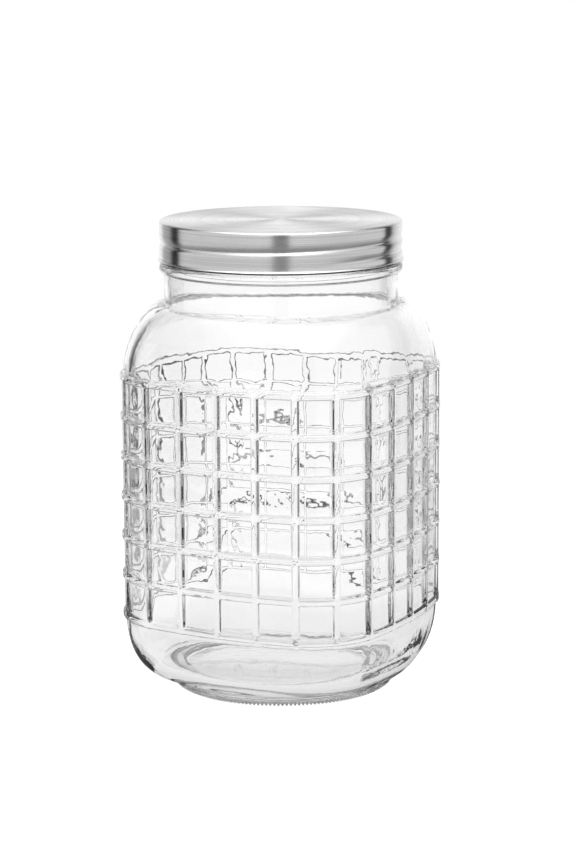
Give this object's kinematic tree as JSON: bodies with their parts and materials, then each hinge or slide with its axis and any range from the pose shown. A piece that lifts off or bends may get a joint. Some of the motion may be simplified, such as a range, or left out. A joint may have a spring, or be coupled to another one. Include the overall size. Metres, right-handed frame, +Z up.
{
  "type": "square glass storage jar",
  "caption": "Clear glass kitchen jar with a bowed square body, a raised square grid on its sides, a round neck and foot, and a screw-on steel lid.",
  "frame": {"origin": "middle of the foot ring, on the surface that the jar stands on", "axes": "+Z up through the middle of the lid; the four bowed sides face +X, -X, +Y and -Y"},
  "size_m": [0.1254, 0.1254, 0.2036],
  "materials": {
    "clear_glass": "clear pressed soda-lime glass, fire polished, with slight waviness",
    "spun_steel": "spun and brushed stainless steel, satin"
  },
  "bodies": {
    "root": {"jar": "clear_glass", "lid": "spun_steel"}
  },
  "joints": []
}
